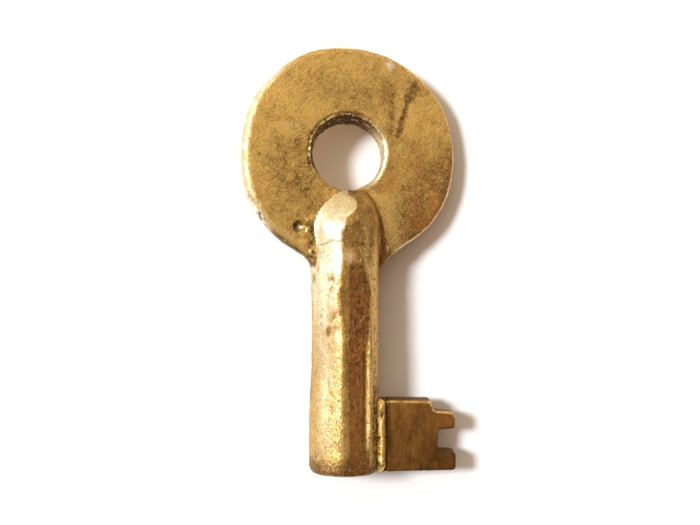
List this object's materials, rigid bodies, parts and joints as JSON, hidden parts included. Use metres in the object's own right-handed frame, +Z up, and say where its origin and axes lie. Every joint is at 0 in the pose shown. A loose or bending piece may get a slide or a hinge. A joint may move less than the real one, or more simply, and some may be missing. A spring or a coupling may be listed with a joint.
{
  "type": "railway switch key",
  "caption": "Hollow-barrel brass switch key: a round ring bow with a hanging hole, a drilled barrel forked over it, and a stepped, notched bit brazed to the barrel's side.",
  "frame": {"origin": "centre of the bore's mouth, on the barrel's axis", "axes": "+Y along the barrel from the mouth to the bow, +X towards the bit, +Z up from the table the key lies on; the flat of the bow is rolled 12.16 degrees about Y, with the bit's side down, as the key rests, and the bit is twisted 8 degrees up out of the bow's plane"},
  "size_m": [0.0266, 0.052, 0.0086],
  "materials": {
    "bow_brass": "worn satin with brown tarnish and copper-red stains",
    "barrel_brass": "filed and hand-worn, satin",
    "bit_brass": "dark tarnished satin",
    "braze": "bright worn bead"
  },
  "bodies": {
    "root": {"bow": "bow_brass", "barrel": "barrel_brass", "bit": "bit_brass", "bit_bead_front": "braze", "bit_bead_back": "braze", "neck_fillet_right": "braze", "neck_fillet_left": "braze"}
  },
  "joints": []
}
